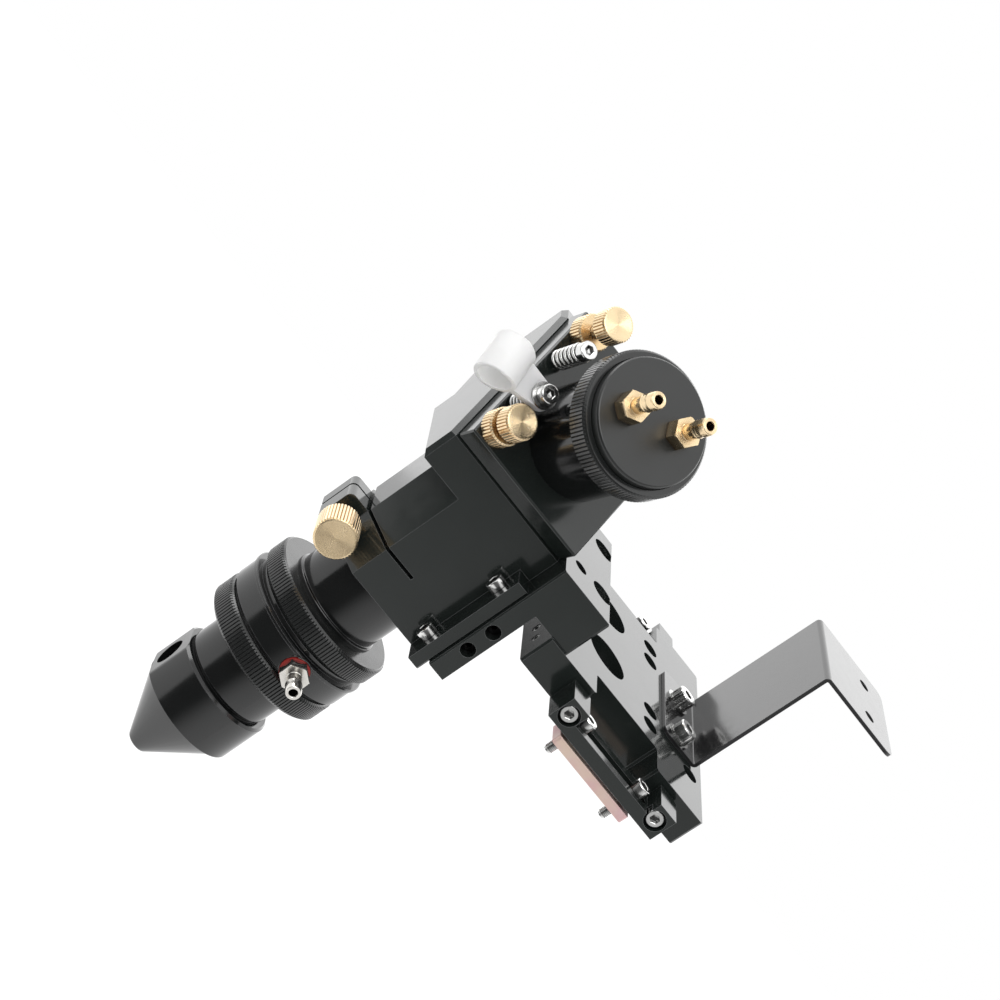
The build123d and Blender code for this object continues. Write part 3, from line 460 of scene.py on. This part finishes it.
lock_ring("lower_lock_ring", "nozzle_tube")
lock_ring("upper_lock_ring", "focus_tube", lip_h=0.8, lip_inset=1.0)
mirror_ring("mirror_lock_ring")


# Brass adjusters
def knurled_head(r, foot, top, chamfer, crown_drop, crown, rim, dish):
    """Profile of a thumb screw's head: chamfered foot, rounded crown, flat rim and dished end."""
    shoulder, corner = 0.6, 0.35
    return [(r - chamfer, foot, 0), (r, foot + chamfer, 1), (r, top - shoulder, 1),
            (r - corner, top - crown_drop, 0.3), (r - crown, top, 0), (r - rim, top, 0), (0.0, top - dish, 0)]


def thumb_screw(node):
    low, high = extent(node, SLOPE)
    centre = middle(low, high)
    tip_r, neck_r, neck_h, head_h = 1.0, 3.3, 1.6, 5.8
    tip, top = low.z, high.z
    foot = top - head_h
    neck_z = foot - neck_h
    profile = [(0.0, tip, 0), (tip_r, tip, 0)]
    profile += thread(M4_R, BODY_FACE + 1.0, neck_z - 0.2, M4_PITCH)
    profile += [(M4_R, neck_z, 0), (neck_r, neck_z, 0), (neck_r, foot, 0)]
    profile += knurled_head(high.x - centre.x, foot, top, chamfer=0.5, crown_drop=0.1, crown=0.6, rim=1.0,
                            dish=0.35)
    knurled(node, SLOPE @ at(centre.x, centre.y, 0), profile, teeth=36, depth=0.3)


def thumb_nut(node):
    """Lock nut, its foot a hair clear of the plate that tilts under it."""
    low, high = extent(node, SLOPE)
    centre = middle(low, high)
    r, bore, dish_r = high.x - centre.x, M4_R + THREAD_CLEAR, 3.0
    gap, chamfer, shoulder, crown, dish = 0.01, 0.5, 0.6, 0.4, 0.15
    foot, top = low.z + gap, high.z
    profile = [(bore, foot, 0), (r - chamfer, foot, 0), (r, low.z + chamfer, 1), (r, top - shoulder, 1),
               (r - crown, top, 0), (dish_r, top - dish, 0), (bore, top, 0), (bore, foot, 0)]
    knurled(node, SLOPE @ at(centre.x, centre.y, 0), profile, teeth=38, depth=0.3)


def clamp_knob(node, ear_y):
    """Thumb screw of the split clamp, its neck standing on the ear's front face."""
    low, high = extent(node)
    centre = middle(low, high)
    tip, top = ear_y - high.y, ear_y - low.y
    tip_r, thread_end, neck_r, neck_z, foot = 1.5, -9.0, 2.6, 0.02, 4.4
    profile = [(0.0, tip, 0), (tip_r, tip, 0)]
    profile += thread(M4_R, tip + 0.3, thread_end, M4_PITCH)
    profile += [(M4_R, thread_end + 0.1, 0), (M4_R, neck_z, 0), (neck_r, neck_z, 0), (neck_r, foot, 0)]
    profile += knurled_head(high.x - centre.x, foot, top, chamfer=0.6, crown_drop=0.15, crown=0.65, rim=1.1,
                            dish=0.6)
    knurled(node, at(centre.x, ear_y, centre.z, "X", 90), profile, teeth=42, depth=0.32)


for name in ("upper", "lower", "far"):
    thumb_screw(name + "_thumb_screw")
    thumb_nut(name + "_thumb_nut")
clamp_knob("clamp_thumb_screw", ear_y=-8.4)

# Socket head screws. The corner radius of SOCKET is beyond any socket's corners, so they stay sharp.
Cap = namedtuple("Cap", "r pitch head_r head_h half_hex")
M3 = Cap(r=1.5, pitch=0.5, head_r=2.75, head_h=3.0, half_hex=1.25)
M4 = Cap(r=M4_R, pitch=M4_PITCH, head_r=3.5, head_h=4.0, half_hex=1.5)
SOCKET = (HEX, 9.0)


def cap_screw(bm, place, size, length, thread_h, teeth):
    """Socket head screw with the seat of its head at the place's origin."""
    r, pitch, head_r, head_h, half_hex = size
    rim, edge, mouth, run_out = 0.12 * head_r, 0.1, 0.12, 0.3
    socket_foot, socket_tip = 0.42 * head_h, 0.3 * head_h
    point_r, point_h = 0.78 * r, 0.3 * r
    profile = [(0.0, -length, 0), (point_r, -length, 0)]
    if thread_h:
        profile += thread(r, point_h - length, thread_h - length, pitch)
    else:
        profile.append((r, point_h - length, 0))
    profile += [(r, max(thread_h, point_h) + run_out - length, 0), (r, 0, 0), (head_r - edge, 0, 0),
                (head_r, edge, 1), (head_r, head_h - rim, 1),
                (head_r - 0.4 * rim, head_h - 0.35 * rim, 0.3), (head_r - rim, head_h, 0),
                (half_hex + mouth, head_h, SOCKET), (half_hex, head_h - mouth, SOCKET),
                (half_hex, socket_foot, SOCKET), (0.0, socket_tip, 0)]
    turn(bm, place, profile, teeth, depth=0.14)


def screws(node, places, size, length, thread_h=0.0, teeth=0):
    """The screws of a node, all alike, their last thread_h threaded and their heads knurled or plain."""
    bm = bmesh.new()
    for place in places:
        cap_screw(bm, place, size, length, thread_h, teeth)
    own(new_object(node + "_look", bm, sharp=24), node)


def upright_screws(node, size, thread_h=0.0, teeth=0):
    """Screws from above, at the corners of their node's box."""
    low, high = extent(node)
    seat = high.z - size.head_h
    xs = row(low.x, high.x, size.head_r)
    ys = row(low.y, high.y, size.head_r)
    screws(node, [at(x, y, seat) for x in xs for y in ys], size, seat - low.z, thread_h, teeth)


def tension_screws(node, length):
    """Screws of the belt clamps, at the front and at the back."""
    low, high = extent(node)
    xs = row(low.x, high.x, M3.head_r)
    z = row(low.z, high.z, M3.head_r)[0]
    front = [at(x, low.y + M3.head_h, z, "X", 90) for x in xs]
    back = [at(x, high.y - M3.head_h, z, "X", -90) for x in xs]
    screws(node, front + back, M3, length)


def flange_screws(node):
    """Screws through the body's side flange, heads to -X."""
    low, high = extent(node)
    seat = low.x + M3.head_h
    ys = row(low.y, high.y, M3.head_r)
    zs = row(low.z, high.z, M3.head_r)
    screws(node, [at(seat, y, z, "Y", -90) for y in ys for z in zs], M3, high.x - seat, thread_h=2.0)


def spring_screw(node, spring):
    """Screw on the axis of its spring."""
    low, high = extent(node, SLOPE)
    axis = middle(*extent(spring, SLOPE))
    seat = high.z - M3.head_h
    screws(node, [SLOPE @ at(axis.x, axis.y, seat)], M3, seat - low.z)


tension_screws("tension_screws", length=17.2)
upright_screws("jaw_screws", M3, thread_h=6.0)
upright_screws("foot_screws", M4, teeth=34)
upright_screws("top_screws", M4, teeth=34)
flange_screws("flange_screws")
for name in ("upper", "lower"):
    spring_screw(name + "_spring_screw", name + "_spring")


def coil(node, wire_r=0.5, turns=6):
    """Compression spring, evenly wound, standing on the mirror plate."""
    low, high = extent(node, SLOPE)
    axis = middle(low, high)
    place = SLOPE @ at(axis.x, axis.y, PLATE_FACE)
    mean_r = high.x - axis.x - wire_r
    height = high.z - low.z
    sides, steps = 10, 28
    total = turns * steps
    rise = height - 2 * wire_r
    bm = bmesh.new()
    rings = []
    for k in range(total + 1):
        angle = 2 * math.pi * k / steps
        centre = Vector((mean_r * math.cos(angle), mean_r * math.sin(angle), wire_r + rise * k / total))
        out = Vector((math.cos(angle), math.sin(angle), 0))
        ring = []
        for i in range(sides):
            a = 2 * math.pi * i / sides
            point = centre + out * (wire_r * math.cos(a)) + Vector((0, 0, wire_r * math.sin(a)))
            ring.append(bm.verts.new(place @ point * MM))
        rings.append(ring)
    for ring, after in zip(rings, rings[1:]):
        for i in range(sides):
            j = (i + 1) % sides
            bm.faces.new((ring[i], after[i], after[j], ring[j]))
    bm.faces.new(rings[0])
    bm.faces.new(list(reversed(rings[-1])))
    bmesh.ops.recalc_face_normals(bm, faces=bm.faces)
    own(new_object(node + "_look", bm, sharp=40), node)


for name in ("upper", "lower"):
    coil(name + "_spring")


# Hose fittings
def fitting(bm, place, hex_h, r, h):
    """Hexagon with a stub below and a nipple of two barbs above, bored through."""
    half, bore, stub_r, stub_h = 4.0, 1.3, 2.4, 5.0
    waist, lead = 0.88 * r, r - 0.1
    top = hex_h + h
    # The hexagon's corner radius at its two rims and between them
    rim, side = (HEX, 1.1 * half), (HEX, 1.14 * half)
    hexagon = [(half - 0.05, 0, rim), (half, 0.2, side),
               (half, hex_h - 0.25, side), (half - 0.08, hex_h, rim)]
    # Radius and share of the nipple's height
    barbs = [(waist, 0.42), (lead, 0.455), (r, 0.475), (waist, 0.67),
             (waist, 0.7), (lead, 0.735), (r, 0.755), (0.94 * r, 0.95), (0.88 * r, 0.99), (0.84 * r, 1.0)]
    profile = [(bore, -stub_h, 0), (stub_r, -stub_h, 0), (stub_r, 0, 0)] + hexagon
    profile += [(waist + 0.15, hex_h, 0), (waist, hex_h + 0.2, 0)]
    profile += [(radius, hex_h + share * h, 0) for radius, share in barbs]
    profile += [(bore + 0.12, top, 0), (bore, top - 0.15, 0), (bore, -stub_h, 0)]
    turn(bm, place, profile)


def fittings(node, places, hex_h, r, h):
    bm = bmesh.new()
    for place in places:
        fitting(bm, place, hex_h, r, h)
    own(new_object(node + "_look", bm, sharp=24), node)


# The water fittings stand on the cover, one turned by 30 degrees, and the gas fitting on the air ring
WATER_X, WATER_Y = 7.8, 3.9
WATER = [SLOPE @ at(-WATER_X, -WATER_Y, COVER_FACE), SLOPE @ at(WATER_X, WATER_Y, COVER_FACE, "Z", 30)]
fittings("water_barbs", WATER, hex_h=4.6, r=2.6, h=10.0)
GAS_Z, GAS_SEAT, GAS_TURN = middle(*extent("air_barb")).z, 23.95, 8
GAS = at(0, 0, GAS_Z, "Z", GAS_TURN) @ at(0, -GAS_SEAT, 0, "X", 90)
fittings("air_barb", [GAS], hex_h=3.6, r=2.5, h=7.8)

# Everything else keeps its CAD shape, some of it with broken edges of these widths
EDGES = {
    "body": 0.22, "angle_piece": 0.22, "carriage_plate": 0.22, "front_clamp_bar": 0.18,
    "rear_clamp_bar": 0.18, "front_clamp_jaw": 0.15, "rear_clamp_jaw": 0.15, "chain_bracket": 0.12,
    "mirror_plate": 0.18, "mirror_barrel": 0.2, "nozzle": 0.18, "nozzle_tube": 0.15,
    "focus_tube": 0.15, "air_ring": 0.15, "cable_clip": 0.3, "cooling_cover": 0.15,
}
for node in sorted(nodes):
    if not nodes[node].hide_render:
        cleaned(node, EDGES.get(node, 0.0))


# Floor and world, in metres, both white to the camera
def seen_directly(tree):
    """Whether a ray comes from the camera, and whether it comes from there, a reflection or glass."""
    path = tree.nodes.new("ShaderNodeLightPath")
    is_camera = path.outputs["Is Camera Ray"]
    seen = is_camera
    for kind in ("Is Glossy Ray", "Is Transmission Ray"):
        either = tree.nodes.new("ShaderNodeMath")
        either.operation = "MAXIMUM"
        tree.links.new(seen, either.inputs[0])
        tree.links.new(path.outputs[kind], either.inputs[1])
        seen = either.outputs[0]
    return is_camera, seen


def floor_material(grey, glow_strength):
    """Pale floor that shows just white and keeps the shadow."""
    mat = bpy.data.materials.new("floor_white")
    mat.use_nodes = True
    tree = mat.node_tree
    tree.nodes.clear()
    out = tree.nodes.new("ShaderNodeOutputMaterial")
    diffuse = tree.nodes.new("ShaderNodeBsdfDiffuse")
    diffuse.inputs["Color"].default_value = (grey, grey, grey, 1)
    glow = tree.nodes.new("ShaderNodeEmission")
    both = tree.nodes.new("ShaderNodeAddShader")
    scale = tree.nodes.new("ShaderNodeMath")
    scale.operation = "MULTIPLY"
    scale.inputs[1].default_value = glow_strength
    tree.links.new(seen_directly(tree)[1], scale.inputs[0])
    tree.links.new(scale.outputs[0], glow.inputs["Strength"])
    tree.links.new(diffuse.outputs[0], both.inputs[0])
    tree.links.new(glow.outputs[0], both.inputs[1])
    tree.links.new(both.outputs[0], out.inputs[0])
    return mat


FLOOR_X, FLOOR_FRONT, FLOOR_BACK, FLOOR_Z = 9.0, -0.2, 0.8, -0.12
floor_corners = [(-FLOOR_X, FLOOR_FRONT, FLOOR_Z), (FLOOR_X, FLOOR_FRONT, FLOOR_Z),
                 (FLOOR_X, FLOOR_BACK, FLOOR_Z), (-FLOOR_X, FLOOR_BACK, FLOOR_Z)]
floor_mesh = bpy.data.meshes.new("floor")
floor_mesh.from_pydata(floor_corners, [], [(0, 1, 2, 3)])
floor = bpy.data.objects.new("floor", floor_mesh)
bpy.context.scene.collection.objects.link(floor)
floor_mesh.materials.append(floor_material(grey=0.5, glow_strength=0.5))

# Directions from the head: to the camera, and the one that the world's dark band lies across
TO_CAMERA = Vector((-0.2577, -0.9320, 0.2550)).normalized()
BAND_AXIS = Vector((0.35, -0.30, -0.89)).normalized()

# Cosines to those directions between which the parts of the world fade into each other
BEHIND = (-0.8, -0.3)
DARK_SIDE = (0.0, 0.45)
DARK_BELOW = (0.5, 0.78)
DARK_ABOVE = (-0.5, -0.1)


def studio_world(ambient, near, dim, behind):
    """White to the camera. In reflections and glass it is brightest behind the head and has a dark
    band on the camera's side. Everything else gets even light."""
    world = bpy.data.worlds.new("studio")
    world.use_nodes = True
    tree = world.node_tree
    tree.nodes.clear()
    link = tree.links.new
    out = tree.nodes.new("ShaderNodeOutputWorld")
    back = tree.nodes.new("ShaderNodeBackground")
    back.inputs["Color"].default_value = (1, 1, 1, 1)
    direction = tree.nodes.new("ShaderNodeTexCoord").outputs["Generated"]

    def toward(axis):
        made = tree.nodes.new("ShaderNodeVectorMath")
        made.operation = "DOT_PRODUCT"
        made.inputs[1].default_value = axis
        link(direction, made.inputs[0])
        return made.outputs["Value"]

    def multiply(a, b):
        made = tree.nodes.new("ShaderNodeMath")
        made.operation = "MULTIPLY"
        link(a, made.inputs[0])
        link(b, made.inputs[1])
        return made.outputs[0]

    def fade(value, between, low, high):
        made = tree.nodes.new("ShaderNodeMapRange")
        made.interpolation_type = "SMOOTHSTEP"
        made.inputs["From Min"].default_value, made.inputs["From Max"].default_value = between
        made.inputs["To Min"].default_value = low
        made.inputs["To Max"].default_value = high
        link(value, made.inputs["Value"])
        return made.outputs["Result"]

    def choose(factor, a, b):
        made = tree.nodes.new("ShaderNodeMix")
        link(factor, made.inputs["Factor"])
        for value, socket in ((a, made.inputs[FLOAT_A]), (b, made.inputs[FLOAT_B])):
            if isinstance(value, float):
                socket.default_value = value
            else:
                link(value, socket)
        return made.outputs[FLOAT_OUT]

    camera_side = toward(TO_CAMERA)
    across = toward(BAND_AXIS)
    band = multiply(fade(across, DARK_BELOW, 1.0, 0.0), fade(across, DARK_ABOVE, 0.0, 1.0))
    dark = multiply(fade(camera_side, DARK_SIDE, 0.0, 1.0), band)
    room = choose(dark, fade(camera_side, BEHIND, behind, near), dim)
    is_camera, seen = seen_directly(tree)
    link(choose(is_camera, choose(seen, ambient, room), 1.0), back.inputs["Strength"])
    link(back.outputs[0], out.inputs[0])
    return world


bpy.context.scene.world = studio_world(ambient=1.1, near=1.1, dim=0.1, behind=1.9)

# Lamps round the middle of the head
CENTRE = Vector((0.04, 0.01, 0.09))
LAMP_DISTANCE = 0.9


def softbox(name, direction, size, power):
    light = bpy.data.lights.new(name, "AREA")
    light.shape = "RECTANGLE"
    light.size, light.size_y = size
    light.energy = power
    lamp = bpy.data.objects.new(name, light)
    away = Vector(direction).normalized()
    lamp.location = CENTRE + away * LAMP_DISTANCE
    lamp.rotation_mode = "QUATERNION"
    lamp.rotation_quaternion = (-away).to_track_quat("-Z", "Y")
    bpy.context.scene.collection.objects.link(lamp)


softbox("key", direction=(-0.753, 0.359, 0.551), size=(0.42, 0.32), power=1.5)
softbox("top", direction=(0.26, -0.25, 0.93), size=(0.8, 0.7), power=0.6)
softbox("fill", direction=(-0.3, -0.65, 0.7), size=(0.6, 0.5), power=2.6)

# Camera at the photograph's angle, rolled since the picture shows the head lying over
CAMERA_AT = Vector((-0.1988, -0.7287, 0.3334))
ROLL = math.radians(55.241)
level = Vector((0, 0, 1)).cross(TO_CAMERA).normalized()
rise = TO_CAMERA.cross(level).normalized()
right = level * math.cos(ROLL) + rise * math.sin(ROLL)
up = TO_CAMERA.cross(right).normalized()
view = Matrix((right, up, TO_CAMERA)).transposed().to_4x4()
view.translation = CAMERA_AT
camera_data = bpy.data.cameras.new("camera")
camera_data.sensor_width = 36
camera_data.lens = 98.71
camera_data.clip_start = 0.05
camera_data.clip_end = 60
camera = bpy.data.objects.new("camera", camera_data)
bpy.context.scene.collection.objects.link(camera)
camera.matrix_world = view
bpy.context.scene.camera = camera

bpy.context.scene.view_settings.view_transform = "Standard"
